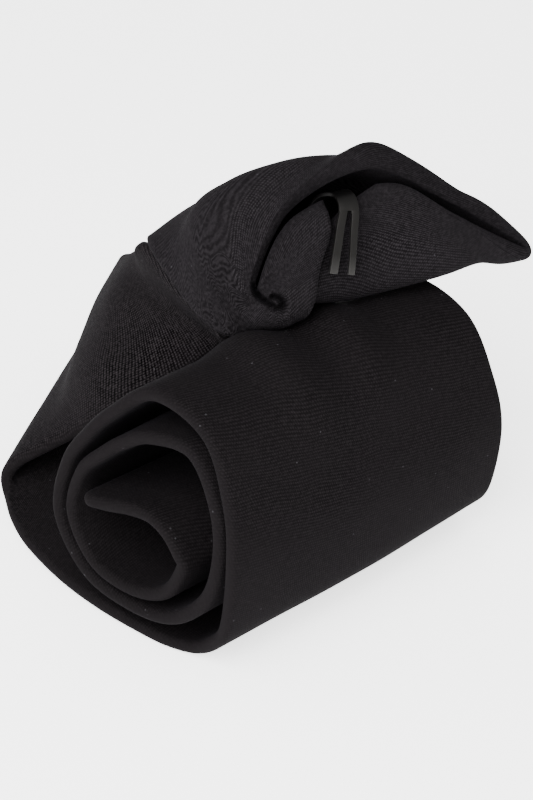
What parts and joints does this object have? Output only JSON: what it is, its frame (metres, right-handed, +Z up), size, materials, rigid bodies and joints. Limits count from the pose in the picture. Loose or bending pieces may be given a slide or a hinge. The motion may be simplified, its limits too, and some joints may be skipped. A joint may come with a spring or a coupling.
{
  "type": "clip-on tie",
  "caption": "Rolled clip-on necktie: a padded blade wound into a roll, a hollow pre-tied knot lying on top, and a forked clip hooked out of the knot's mouth.",
  "frame": {"origin": "on the floor, at the middle of the tie's footprint", "axes": "+Z up from the floor, X along the roll from its open near end to its far end, +Y from the roll toward the blade's folded corner"},
  "size_m": [0.102, 0.1158, 0.0943],
  "materials": {
    "cloth": "matt black twill with a faint purple cast",
    "clip_metal": "dark bronze-grey satin, worn lighter at the tips"
  },
  "bodies": {
    "root": {"blade": "cloth", "knot": "cloth", "clip": "clip_metal"}
  },
  "joints": []
}
